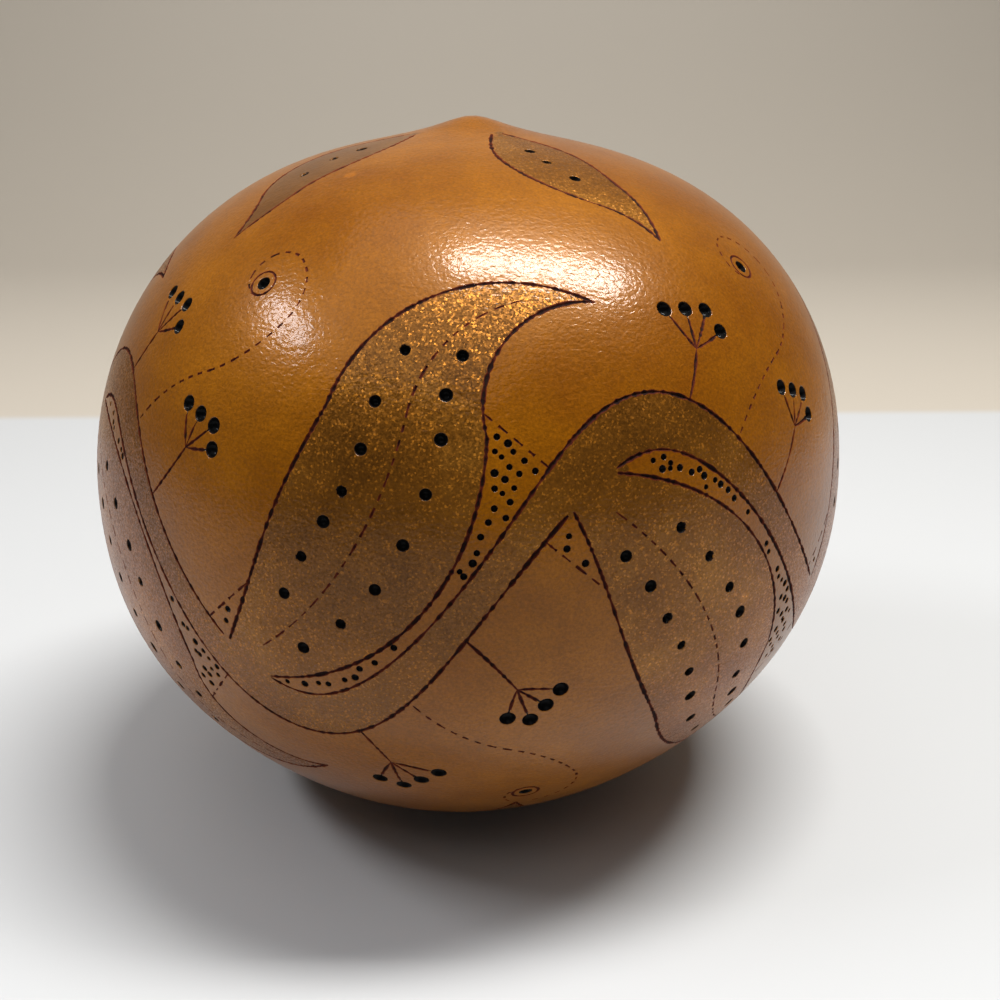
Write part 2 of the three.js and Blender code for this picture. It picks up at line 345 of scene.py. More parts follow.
@dataclass
class VinePattern:
    """The running vine: its shapes, the lines round and between them, and the pits."""

    waves: int = 4
    middle: float = 1.0
    swing: float = 19.0
    turn: float = 24.0
    vine_half: float = 2.7
    vine_swell: float = 1.7
    corner_width: float = 13.0
    corner_share: float = 0.72
    bold_from: float = 4.0
    pit_pitch: float = 7.4
    sprigs: tuple[Sprig, ...] = (Sprig(0.05, 13, 80, 8), Sprig(0.21, 15, 96, 7))
    ring_radius: float = 2.3
    dot_spacing: float = 2.1
    dot_jitter: float = 0.3
    dot_margin: float = 0.95
    pit_margin: float = 1.2
    dot_sizes: tuple[float, float] = (0.46, 0.7)
    dot_depth: float = 0.6
    samples: int = 540
    bands: list[Band] = field(default_factory=list)
    lines: list[BurnedLine] = field(default_factory=list)
    pits: list[Pit] = field(default_factory=list)

    @property
    def period(self) -> float:
        """Return the degrees of longitude from one crest to the next."""
        return 360 / self.waves

    def bends(self, outside: bool) -> list[tuple[float, int]]:
        """Return each bend's longitude, and its outer or hollow side: 1 above, -1 below."""
        return [(self.turn + (i + (0.5 if (side > 0) != outside else 0)) * self.period, side)
                for i in range(self.waves) for side in (1, -1)]

    def draw(self) -> None:
        """Draw the whole pattern."""
        self.vine = self.draw_vine()
        self.big_leaves = self.draw_big_leaves()
        top = self.draw_ring(latitude=80, count=4, first=30, bearing=-90, bend=28)
        foot = self.draw_ring(latitude=-77, count=5, first=0, bearing=90, bend=-28)
        self.small_leaves = top + foot
        self.bands = [self.vine, *self.big_leaves, *self.small_leaves]
        self.outline()
        self.draw_ribs_and_pits()
        self.draw_sprigs()
        self.draw_tendrils()
        self.draw_corners()

    def draw_vine(self) -> Band:
        """Return the wave that runs right round the gourd."""
        spots, halves = [], []
        for i in range(self.samples):
            longitude = -180 + 360 * i / self.samples
            wave = math.radians(self.waves * (longitude - self.turn))
            spots.append(stand_at(longitude, self.middle + self.swing * math.cos(wave)).at)
            halves.append(self.vine_half + self.vine_swell * math.cos(wave) ** 2)
        at = np.array(spots)
        ahead = np.roll(at, -1, 0) - np.roll(at, 1, 0)
        ahead = unit(ahead - at * np.sum(ahead * at, axis=1, keepdims=True))
        path = [Stand(a, f) for a, f in zip(at, ahead)]
        return Band(path, np.array(halves), Wash.BRONZE, closed=True)

    def root(self, longitude: float) -> Stand:
        """Return where a twig leaves the vine, at a longitude."""
        share = ((longitude + 180) % 360) / 360
        return self.vine.path[round(share * self.samples) % self.samples]

    @staticmethod
    def draw_leaf(start: Stand, legs: Pairs, half: float, neck: float,
                  wash: Wash) -> Band:
        """Return a leaf, round near its stalk and drawn out to a point.

        Args:
            start: where its stalk begins.
            legs: how its rib runs.
            half: half its greatest width in mm.
            neck: half its width at the stalk in mm.
            wash: what is brushed inside it.

        Returns:
            The leaf.
        """
        path = start.walk(legs)
        along = np.linspace(0, 1, len(path))
        fullest = 0.42
        power = math.log(0.5) / math.log(fullest)
        belly = np.maximum(0, np.sin(np.pi * along**power)) ** 1.25
        return Band(path, neck * (1 - along) + half * belly, wash)

    def draw_big_leaves(self) -> list[Band]:
        """Return one leaf for each hollow of the vine, above and below it by turns."""
        leaves = []
        for hollow, side in self.bends(outside=False):
            n = len(leaves) * 4
            # Out from the vine, then along it, then a hook back at the tip.
            start = self.root(hollow - 0.13 * self.period).turned(side * (74 + 5 * wobble(n)))
            legs = (
                (12, side * 10),
                (42, side * (34 + 8 * wobble(n + 1))),
                (38 + 3 * wobble(n + 3), -side * (86 + 14 * wobble(n + 2))),
            )
            half = 13 + 0.8 * wobble(n + 3)
            leaves.append(self.draw_leaf(start, legs, half, neck=1.5, wash=Wash.BRONZE))
        return leaves

    def draw_ring(self, latitude: float, count: int, first: float, bearing: float,
                  bend: float) -> list[Band]:
        """Return a ring of small leaves.

        Args:
            latitude: where their stalks are, in degrees.
            count: how many there are.
            first: the first one's longitude.
            bearing: the way that they set out.
            bend: how far they bend in degrees, there and back.

        Returns:
            The leaves, bronze and plain brown by turns.
        """
        leaves = []
        for i in range(count):
            start = stand_at(first + 360 * i / count, latitude, bearing)
            legs = ((12, 0), (20, bend), (14, -bend))
            wash = Wash.BROWN if i % 2 else Wash.BRONZE
            leaves.append(self.draw_leaf(start, legs, half=7.6, neck=1.2, wash=wash))
        return leaves

    def inside(self, directions: Array, but: Band | None = None) -> Array:
        """Return how far inside any shape, but one, some directions are, in mm."""
        depths = [band.depth(directions) for band in self.bands if band is not but]
        return np.max(depths, axis=0)

    def burn(self, course: Array, shown: Array, pen: Pen, least: int = 4) -> None:
        """Burn the stretches of a course that show.

        Args:
            course: its directions in order.
            shown: whether each one shows.
            pen: how the pen is pressed.
            least: how many directions a stretch has at least.
        """
        breaks = np.flatnonzero(np.diff(np.concatenate([[False], shown, [False]]).astype(int)))
        for first, end in breaks.reshape(-1, 2):
            if end - first >= least:
                self.lines.append(BurnedLine(course[first:end], pen))

    def outline(self) -> None:
        """Burn both edges of each shape where no other shape covers them."""
        for band in self.bands:
            pen = Pen.OUTLINE if band.halves.max() > self.bold_from else Pen.SMALL_OUTLINE
            for side in (1, -1):
                course = band.edge(side)
                hidden = self.inside(course, but=band) > 0.05
                if band.closed:
                    first = int(np.argmax(hidden))
                    course, hidden = np.roll(course, -first, 0), np.roll(hidden, -first)
                self.burn(course, ~hidden, pen)

    def draw_ribs_and_pits(self) -> None:
        """Burn each leaf's rib and drill its rows of pits."""
        for number, leaf in enumerate(self.big_leaves):
            rib = leaf.spine[6:-8]
            self.burn(rib, self.vine.depth(rib) < -0.4, Pen.RIB)
            self.drill_rows(leaf, (-0.42, 0.42), lead=16, tail=24, seed=100 * (number + 1))
        for number, leaf in enumerate(self.small_leaves):
            self.drill_rows(leaf, (0.0,), lead=12, tail=16, seed=100 * (number + 11))

    def drill_rows(self, leaf: Band, rows: tuple[float, ...], lead: float, tail: float,
                   seed: int) -> None:
        """Drill rows of pits along a leaf.

        Args:
            leaf: the leaf.
            rows: each row's place, as a share of the leaf's half width.
            lead: how far from the stalk the first pit is, in mm.
            tail: how far before the tip the last one is, in mm.
            seed: the number of the leaf's first draw.
        """
        drilled = 0
        for row_number, row in enumerate(rows):
            along = lead + self.pit_pitch / 2 * row_number
            while along < len(leaf.path) * WALK_STEP - tail:
                n = seed + drilled
                index = int(along / WALK_STEP)
                direction = leaf.aside(index, row * leaf.halves[index] + 0.5 * wobble(n))
                self.pits.append(Pit(direction, radius=1.02 + 0.15 * wobble(n + 0.5), depth=1.0))
                along += self.pit_pitch
                drilled += 1

    def draw_sprigs(self) -> None:
        """Burn fanned stalks with a berry at each end, outside each bend of the vine."""
        for bend, side in self.bends(outside=True):
            for sprig in self.sprigs:
                root = self.root(bend + sprig.offset * self.period)
                stalk = root.turned(side * sprig.opening).walk(((sprig.stem, side * 12),))
                self.burn_twig(stalk, Pen.STALK, 0.3, least=3)
                for k in range(sprig.berries):
                    fan = sprig.fan * (k / (sprig.berries - 1) - 0.5)
                    length = sprig.reach * (1 if k % 2 else 0.86)
                    twig = stalk[-1].turned(fan).walk(((length, -fan / 4),))
                    self.burn_twig(twig, Pen.STALK, 0.3, least=3)
                    self.pits.append(Pit(twig[-1].at, radius=1.35, depth=1.2))

    def burn_twig(self, stands: list[Stand], pen: Pen, overlap: float, least: int) -> None:
        """Burn a twig up to where it is this many mm inside the shapes that cover it."""
        course = np.array([stand.at for stand in stands])
        self.burn(course, self.inside(course) < overlap, pen, least)

    def draw_tendrils(self) -> None:
        """Burn a curling tendril in the open side of each hollow, with a ringed pit in its curl."""
        curling = ((22, -30), (16, 40), (14, 90), (11, 120), (6, 90))
        for hollow, side in self.bends(outside=False):
            start = self.root(hollow - 0.37 * self.period).turned(side * 100)
            stands = start.walk(tuple((length, side * bend) for length, bend in curling))
            self.burn_twig(stands, Pen.TENDRIL, -0.3, least=4)
            middle = stands[-1].turned(side * 80).stepped(2.4)
            ring = [middle.turned(way).stepped(self.ring_radius).at for way in range(0, 360, 15)]
            self.lines.append(BurnedLine(np.array(ring), Pen.RING, ring=True))
            self.pits.append(Pit(middle.at, radius=1.2, depth=1.2))

    def draw_corners(self) -> None:
        """Poke fine dots close together into the corners between the vine and its leaves."""
        draws = np.random.default_rng(SEED)
        # Evenly spread over the whole ball first, each turned by the golden angle.
        count = int(4 * math.pi * SKIN_RADIUS**2 / (self.dot_spacing**2 * 0.87))
        number = np.arange(count)
        height = 1 - (2 * number + 1) / count
        level = np.sqrt(1 - height**2)
        angle = number * math.pi * (3 - math.sqrt(5))
        dots = np.stack([level * np.cos(angle), level * np.sin(angle), height], axis=1)
        dots = unit(dots + draws.normal(size=dots.shape) * self.dot_jitter / SKIN_RADIUS)
        wanted = np.zeros(len(dots), bool)
        for leaf in self.big_leaves:
            for side in (1, -1):
                wanted |= self.close_corner(leaf, side, dots)
        wanted &= self.inside(dots) < -self.dot_margin
        for pit in self.pits:
            clear = pit.radius + self.pit_margin
            wanted &= dots @ pit.direction < math.cos(clear / SKIN_RADIUS)
        for dot, size in zip(dots[wanted], draws.uniform(*self.dot_sizes, count)):
            self.pits.append(Pit(dot, size, self.dot_depth))

    def close_corner(self, leaf: Band, side: int, dots: Array) -> Array:
        """Burn the thin line that closes the corner between a leaf and the vine.

        Args:
            leaf: the leaf.
            side: which side of the leaf, 1 for its left.
            dots: some directions.

        Returns:
            Whether each direction is in the corner.
        """
        edge = leaf.edge(side)[: round(self.corner_share * len(leaf.path))]
        tip = edge[np.flatnonzero(-self.vine.depth(edge) < self.corner_width)[-1]]
        spot = int((self.vine.spine @ tip).argmax())
        start = self.vine.spine[spot]
        way = unit(tip - start * (tip @ start))
        half = self.vine.halves[spot] / SKIN_RADIUS
        foot = start * math.cos(half) + way * math.sin(half)
        share = np.linspace(0, 1, num=12)[:, None]
        self.lines.append(BurnedLine(unit(foot + (tip - foot) * share), Pen.CLOSING))
        wall = unit(np.cross(foot, tip))
        wall = wall * np.sign(wall @ leaf.spine[0])
        behind = dots @ wall > 1.0 / SKIN_RADIUS
        reach = max(np.arccos(leaf.spine[0] @ tip), np.arccos(leaf.spine[0] @ foot))
        near = dots @ leaf.spine[0] > math.cos(reach)
        near &= -self.vine.depth(dots) - leaf.depth(dots) < self.corner_width + 1
        leaf_side = math.copysign(1, self.vine.lateral(leaf.spine[len(leaf.path) // 2][None])[0])
        near &= self.vine.lateral(dots) * leaf_side > 0
        return behind & near & (leaf.lateral(dots) * side > 0)


@dataclass
class GourdCarver:
    """Builds the gourd's skin, cuts the pattern into it and sorts its faces by finish."""

    form: GourdForm
    pattern: VinePattern
    subdivisions: int = 6
    line_step: float = 0.55
    sway_step: float = 9.0
    taper: float = 2.5
    line_end: float = 0.45
    thinnest: float = 0.25
    wide_pit: float = 0.95
    lip_depth: float = 0.09

    def build(self) -> Object:
        """Return the carved gourd as one object, placed over its solid."""
        gourd = self.make_body()
        self.carve(gourd, self.make_cutters())
        self.place(gourd)
        return gourd

    def make_body(self) -> Object:
        """Return the uncut gourd, in mm, with its resting flat."""
        ball = bmesh.new()
        bmesh.ops.create_icosphere(ball, subdivisions=self.subdivisions, radius=1)
        directions = unit(np.array([vert.co for vert in ball.verts]))
        for vert, point in zip(ball.verts, self.form.point(directions, flat=False)):
            vert.co = point
        everything = [*ball.verts, *ball.edges, *ball.faces]
        cut = bmesh.ops.bisect_plane(ball, geom=everything, plane_co=(0, 0, 0),
                                     plane_no=(0, 0, 1), clear_inner=True)
        rim = [item for item in cut["geom_cut"] if isinstance(item, bmesh.types.BMEdge)]
        bmesh.ops.edgeloop_fill(ball, edges=rim)
        bmesh.ops.triangulate(ball, faces=[f for f in ball.faces if len(f.verts) > 3])
        bmesh.ops.recalc_face_normals(ball, faces=ball.faces)
        return add_object("carved_gourd", as_mesh(ball, "carved_gourd"))

    def make_cutters(self) -> Collection:
        """Return a collection with the cutters of all lines and pits."""
        cutters = bpy.data.collections.new("cutters")
        bpy.context.scene.collection.children.link(cutters)
        tubes = [self.line_tubes(line, number) for number, line in enumerate(self.pattern.lines)]
        for cutter in (*sum(tubes, []), *self.pit_balls()):
            cutters.objects.link(cutter)
        return cutters

    def pressed(self, line: BurnedLine, length: float, number: int) -> tuple[Array, Array]:
        """Return where a line's points are, as shares of its length, and its width at each.

        Args:
            line: the line.
            length: its length in mm.
            number: the line's number, for its draws.

        Returns:
            The shares and the widths in mm.
        """
        count = max(4, round(length / self.line_step))
        share = np.linspace(0, 1, count)
        draws = np.random.default_rng(SEED + number)
        knots = 2 + int(length / self.sway_step)
        sway = np.interp(share, np.linspace(0, 1, knots), draws.normal(size=knots))
        bead = draws.uniform(-1, 1, count)
        width = line.pen.width * (1 + line.pen.beads * bead + 0.1 * sway)
        if line.ring:
            width[-1] = width[0]
        else:
            taper = np.minimum(share, 1 - share) * length / self.taper
            width = width * np.clip(self.line_end + taper, self.line_end, 1)
        return share, np.maximum(width, self.thinnest)

    def line_tubes(self, line: BurnedLine, number: int) -> list[Object]:
        """Return the round-nosed tubes that cut one line.

        Args:
            line: the line.
            number: the line's number, for its draws.

        Returns:
            One tube, or several where the line has gaps.
        """
        course = np.vstack([line.course, line.course[:1]]) if line.ring else line.course
        steps = np.linalg.norm(np.diff(course, axis=0), axis=1) * SKIN_RADIUS
        along = np.concatenate([[0], np.cumsum(steps)])
        share, width = self.pressed(line, along[-1], number)
        place = share * along[-1]
        at = unit(np.stack([np.interp(place, along, axis) for axis in course.T], axis=1))
        points, normals = self.form.point(at), self.form.normal(at)
        spans = self.dashes(len(at), line.pen.gaps, number) if line.pen.gaps else [(0, len(at))]
        return [self.tube(points[a:b], normals[a:b], width[a:b] / 2, line.ring) for a, b in spans]

    @staticmethod
    def dashes(count: int, gaps: float, number: int) -> list[tuple[int, int]]:
        """Return the dashes of a line as ranges of its points.

        Args:
            count: how many points the line has.
            gaps: how ragged the dashes' lengths are.
            number: the line's number, for its draws.

        Returns:
            First and past-last points.
        """
        draws = np.random.default_rng(DASH_SEED + number)
        spans, first, shortest = [], 0, 3
        while first + shortest <= count:
            last = min(count, first + shortest + int(draws.integers(0, 3) * gaps * 3))
            spans.append((first, last))
            first = last + 1
        return spans

    @staticmethod
    def tube(points: Array, normals: Array, halves: Array, ring: bool) -> Object:
        """Return a closed tube along some points, with the burning pen's section.

        The section is a groove with shallow shoulders and a deeper middle, so the shell
        is only scorched at the line's sides and charred along its middle.

        Args:
            points: the points in mm.
            normals: the skin's normals there.
            halves: half the groove's width at each.
            ring: whether its end meets its start.

        Returns:
            The tube, as a mesh object.
        """
        rows = len(points)
        ahead = np.gradient(points, axis=0)
        if ring:
            ahead[[0, -1]] = points[1] - points[-2]
        across = unit(np.cross(normals, ahead))
        tube = bmesh.new()
        bmesh.ops.create_cone(tube, cap_ends=not ring, segments=8, radius1=1, radius2=1,
                              depth=rows - 1)
        uprights = [e for e in tube.edges if abs(e.verts[0].co.z - e.verts[1].co.z) > 0.5]
        bmesh.ops.subdivide_edges(tube, edges=uprights, cuts=rows - 2, use_grid_fill=True)
        for vert in tube.verts:
            row = round(vert.co.z + (rows - 1) / 2)
            wide, high = GROOVE[round(vert.co.y * 2)]
            side = round(vert.co.x * 2) and math.copysign(wide, vert.co.x)
            spoke = side * across[row] + high * normals[row]
            vert.co = points[row] + halves[row] * spoke
        if ring:
            bmesh.ops.remove_doubles(tube, verts=tube.verts, dist=1e-4)
        return bpy.data.objects.new("burned_line", as_mesh(tube, "burned_line"))

    @staticmethod
    def ball(sides: int, rings: Pairs) -> Mesh:
        """Return a ball pressed into the form of a pit, which all pits of a kind share.

        Args:
            sides: how many sides it has.
            rings: each ring's radius and height, from the lowest one up.

        Returns:
            The mesh.
        """
        ball = bmesh.new()
        layers = len(rings) + 1
        bmesh.ops.create_uvsphere(ball, u_segments=sides, v_segments=layers, radius=1)
        for vert in ball.verts:
            ring = round(math.acos(max(-1, min(1, -vert.co.z))) / math.pi * layers)
            if 0 < ring < layers:
                radius, height = rings[ring - 1]
                level = math.hypot(vert.co.x, vert.co.y)
                vert.co = (vert.co.x / level * radius, vert.co.y / level * radius, height)
        return as_mesh(ball, "pit")

    def pit_balls(self) -> list[Object]:
        """Return a pressed ball for each pit."""
        wide, fine = self.ball(16, BOWL), self.ball(9, DOT)
        at = np.array([pit.direction for pit in self.pattern.pits])
        balls = []
        for pit, point, normal in zip(self.pattern.pits, self.form.point(at), self.form.normal(at)):
            turn = Vector(normal).to_track_quat("Z", "Y").to_matrix().to_4x4()
            squat = Matrix.Diagonal((pit.radius, pit.radius, pit.depth, 1))
            ball = bpy.data.objects.new("pit", wide if pit.radius > self.wide_pit else fine)
            ball.matrix_world = Matrix.Translation(Vector(point)) @ turn @ squat
            balls.append(ball)
        return balls

    @staticmethod
    def carve(gourd: Object, cutters: Collection) -> None:
        """Cut every cutter out of the gourd, and remove the cutters."""
        cut = gourd.modifiers.new("carving", "BOOLEAN")
        cut.operation = "DIFFERENCE"
        cut.solver = "MANIFOLD"
        cut.operand_type = "COLLECTION"
        cut.collection = cutters
        bpy.context.view_layer.update()
        whole = gourd.data
        graph = bpy.context.evaluated_depsgraph_get()
        gourd.data = bpy.data.meshes.new_from_object(gourd.evaluated_get(graph))
        gourd.modifiers.clear()
        bpy.data.meshes.remove(whole)
        for mesh in {cutter.data for cutter in cutters.objects}:
            bpy.data.meshes.remove(mesh)
        bpy.data.collections.remove(cutters)

    def place(self, gourd: Object) -> None:
        """Sort the faces by finish, round the normals and set the gourd over its solid."""
        mesh = gourd.data
        mesh.name = gourd.name
        mesh.materials.clear()
        points = np.empty(len(mesh.vertices) * 3)
        mesh.vertices.foreach_get("co", points)
        points = points.reshape(-1, 3)
        nominal = self.form.point(self.form.directions(points))
        centre = np.array([0.0, 0.0, self.form.centre_height])
        depth = np.linalg.norm(nominal - centre, axis=1) - np.linalg.norm(points - centre, axis=1)
        faces = FaceReader(mesh)
        sunk = faces.mean(depth[:, None])[:, 0]
        finish = self.finishes(self.form.directions(faces.mean(points)), sunk)
        mesh.polygons.foreach_set("material_index", finish.astype(np.int32))
        attribute = mesh.attributes.new("depth", "FLOAT", "POINT")
        attribute.data.foreach_set("value", np.maximum(depth, 0))
        self.round_normals(mesh, faces, points, depth)
        low, high = points.min(axis=0), points.max(axis=0)
        solid_low, solid_high = (np.array(corner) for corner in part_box(NODE))
        shift = (solid_low + solid_high) / 2 - (low + high) / 2 * MM
        shift[2] = solid_low[2]
        mesh.transform(Matrix.Translation(Vector(shift)) @ Matrix.Scale(MM, 4))

    def finishes(self, around: Array, sunk: Array) -> Array:
        """Return each face's finish. The rounded lip of a pit keeps the finish round it.

        Args:
            around: the faces' directions from the body's centre.
            sunk: how deep each face is under the skin, in mm.

        Returns:
            The finishes' numbers.
        """
        finish = np.full(len(around), Wash.BARE.value)
        deepest = np.zeros(len(around))
        for band in self.pattern.bands:
            deep = band.depth(around)
            finish[deep > deepest] = band.wash.value
            deepest = np.maximum(deepest, deep)
        cuts = np.flatnonzero(sunk > CUT_DEPTH)
        middles = np.array([pit.direction for pit in self.pattern.pits])
        # A pit's wall ends within this share of its radius.
        wall_end = 1.2
        reach = np.cos(np.array([wall_end * pit.radius for pit in self.pattern.pits]) / SKIN_RADIUS)
        drilled = (around[cuts] @ middles.T > reach).any(axis=1)
        lip = drilled & (sunk[cuts] < self.lip_depth)
        finish[cuts[~drilled]] = Wash.BURNED.value
        finish[cuts[drilled & ~lip]] = Wash.DRILLED.value
        return finish

    def round_normals(self, mesh: Mesh, faces: "FaceReader", points: Array, depth: Array) -> None:
        """Give the skin its true normals, and let cut walls round over into it.

        Args:
            mesh: the gourd's mesh, in mm.
            faces: its faces.
            points: its vertices.
            depth: how deep each vertex is under the skin, in mm.
        """
        flat = (faces.normals[:, 2] < -0.999) & (faces.mean(points)[:, 2] < 0.01)
        walls = np.zeros_like(points)
        weight = faces.normals * faces.areas[:, None]
        sunk = faces.mean(depth[:, None])[:, 0] > CUT_DEPTH
        in_cut = sunk[faces.of_loop]
        np.add.at(walls, faces.corners[in_cut], weight[faces.of_loop[in_cut]])
        skin = self.form.normal(self.form.directions(points))
        wall_loops = in_cut & (depth[faces.corners] > CUT_DEPTH)
        normals = np.where(wall_loops[:, None], walls[faces.corners], skin[faces.corners])
        normals = np.where(flat[faces.of_loop][:, None], [[0.0, 0.0, -1.0]], normals)
        mesh.shade_smooth()
        mesh.normals_split_custom_set(unit(normals))


class FaceReader:
    """A mesh's faces as arrays."""

    def __init__(self, mesh: Mesh) -> None:
        """Read the mesh's corners, normals and areas."""
        count = len(mesh.polygons)
        self.totals = np.empty(count, np.int32)
        mesh.polygons.foreach_get("loop_total", self.totals)
        self.of_loop = np.repeat(np.arange(count), self.totals)
        self.corners = np.empty(len(mesh.loops), np.int32)
        mesh.loops.foreach_get("vertex_index", self.corners)
        self.normals = np.empty(count * 3)
        mesh.polygons.foreach_get("normal", self.normals)
        self.normals = self.normals.reshape(-1, 3)
        self.areas = np.empty(count)
        mesh.polygons.foreach_get("area", self.areas)

    def mean(self, values: Array) -> Array:
        """Return each face's mean of some values at its corners."""
        sums = np.zeros((len(self.totals), values.shape[1]))
        np.add.at(sums, self.of_loop, values[self.corners])
        return sums / self.totals[:, None]


def feed(node: Node, **inputs: object) -> None:
    """Give a node its inputs.

    Args:
        node: the node.
        inputs: by name, or as i0, i1 by number: values, output sockets, or nodes, which
            stand for their first output.
    """
    for name, value in inputs.items():
        numbered = name[0] == "i" and name[1:].isdigit()
        socket = node.inputs[int(name[1:]) if numbered else name.replace("_", " ")]
        if isinstance(value, (Node, NodeSocket)):
            source = value.outputs[0] if isinstance(value, Node) else value
            node.id_data.links.new(source, socket)
        else:
            socket.default_value = value


def add_node(tree: NodeTree, kind: str, settings: dict | None = None, **inputs: object) -> Node:
    """Add a node with its settings and links.

    Args:
        tree: the material's node tree.
        kind: the node's type, without ShaderNode.
        settings: its properties.
        inputs: what it is fed.

    Returns:
        The node.
    """
    node = tree.nodes.new("ShaderNode" + kind)
    for name, value in (settings or {}).items():
        setattr(node, name, value)
    feed(node, **inputs)
    return node


def new_material(name: str, **inputs: object) -> tuple[Material, Node]:
    """Return a new material and its shader, fed with some inputs."""
    material = bpy.data.materials.new(name)
    material.use_nodes = True
    shader = material.node_tree.nodes["Principled BSDF"]
    feed(shader, **inputs)
    return material, shader


@dataclass(frozen=True)
class Studio:
    """The camera, the pale table and the soft lights."""

    sensor_mm: float = 36.0
    focal_px: float = 1250.0
    frame_px: float = 1000.0
    distance: float = 0.2632
    elevation: float = math.radians(17.3)
    centre_px: tuple[float, float] = (470.0, 456.8)
    table_edge: float = 0.276
    sweep_start: float = 0.7
    sweep_radius: float = 0.5

    def build(self, centre: Vector) -> None:
        """Set the whole studio round the gourd's centre."""
        self.place_camera(centre)
        self.lay_table()
        self.hang_lights(centre)
        self.fill_room()

    def place_camera(self, centre: Vector) -> None:
        """Aim the camera so that the gourd's centre lands where the photograph has it."""
        data = bpy.data.cameras.new("camera")
        data.sensor_width = self.sensor_mm
        data.lens = self.sensor_mm * self.focal_px / self.frame_px
        data.clip_start = 0.01
        data.clip_end = 50
        camera = add_object("camera", data)
        across = (self.centre_px[0] - self.frame_px / 2) / self.focal_px
        down = (self.centre_px[1] - self.frame_px / 2) / self.focal_px
        ray = Vector((across, -down, -1)).normalized()
        pitch = math.pi / 2 - self.elevation + math.atan(down)
        yaw = math.atan(across)
        turn = Matrix.Rotation(yaw, 4, "Z") @ Matrix.Rotation(pitch, 4, "X")
        seen = turn.to_3x3() @ ray
        camera.matrix_world = Matrix.Translation(centre - seen * self.distance) @ turn
        bpy.context.scene.camera = camera

    def lay_table(self) -> None:
        """Lay a pale matt table whose far part is the room's warm beige."""
        sheet = bmesh.new()
        bmesh.ops.create_grid(sheet, x_segments=1, y_segments=200, size=3)
        for vert in sheet.verts:
            bend = (vert.co.y - self.sweep_start) / self.sweep_radius
            turn = min(max(bend, 0), math.pi / 2)
            rise = max(bend - math.pi / 2, 0) * self.sweep_radius
            if bend > 0:
                vert.co.y = self.sweep_start + self.sweep_radius * math.sin(turn)
                vert.co.z = self.sweep_radius * (1 - math.cos(turn)) + rise
        table = add_object("table", as_mesh(sheet, "table"))
        table.data.shade_smooth()
        table.data.materials.append(TableTop(self.table_edge).build())

    def hang_lights(self, centre: Vector) -> None:
        """Hang soft lights where the gourd's highlights say that they are."""
        for name, way, distance, size, power, colour in (
            ("window", (0.27, -0.008, 0.962), 0.97, (0.58, 0.16), 14.4, "fffefb"),
            ("side_window", (-0.69, -0.09, 0.72), 1.0, (0.1, 0.38), 3.5, "f8faff"),
            ("ceiling", (-0.08, -0.2, 1.0), 1.7, (2.4, 1.8), 11.0, "ffffff"),
        ):
            data = bpy.data.lights.new(name, "AREA")
            data.shape = "RECTANGLE"
            data.size, data.size_y = size
            data.energy = power
            data.color = linear(colour)[:3]
            light = add_object(name, data)
            away = Vector(way).normalized()
            light.location = centre + away * distance
            light.rotation_euler = away.to_track_quat("Z", "X").to_euler()

    @staticmethod
    def fill_room() -> None:
        """Fill the room with a faint grey glow."""
        world = bpy.data.worlds.new("room")
        world.use_nodes = True
        glow = world.node_tree.nodes["Background"]
        glow.inputs["Color"].default_value = linear("e6e6e6")
        glow.inputs["Strength"].default_value = 0.1
        bpy.context.scene.world = world
        bpy.context.scene.view_settings.view_transform = "Standard"


@dataclass(frozen=True)
class TableTop:
    """White laminate: even and matt, so the shadow and the glow of the gourd read softly.

    It is a light grey that the strong lights bring to white, so the varnish mirrors less of it.
    """

    edge: float
    blur: float = 0.006

    def build(self) -> Material:
        """Return the material."""
        material, shader = new_material("white_laminate", Roughness=0.45)
        tree = material.node_tree
        place = add_node(tree, "TexCoord").outputs["Object"]
        parts = add_node(tree, "SeparateXYZ", Vector=place)
        beyond = add_node(tree, "MapRange", {"interpolation_type": "SMOOTHSTEP"},
                          Value=parts.outputs["Y"], From_Min=self.edge - self.blur,
                          From_Max=self.edge + self.blur)
        colour = add_node(tree, "Mix", {"data_type": "RGBA"}, i0=beyond, i6=linear("c1c2c3"),
                          i7=linear("bcb3a6"))
        feed(shader, Base_Color=colour.outputs[2])
        return material


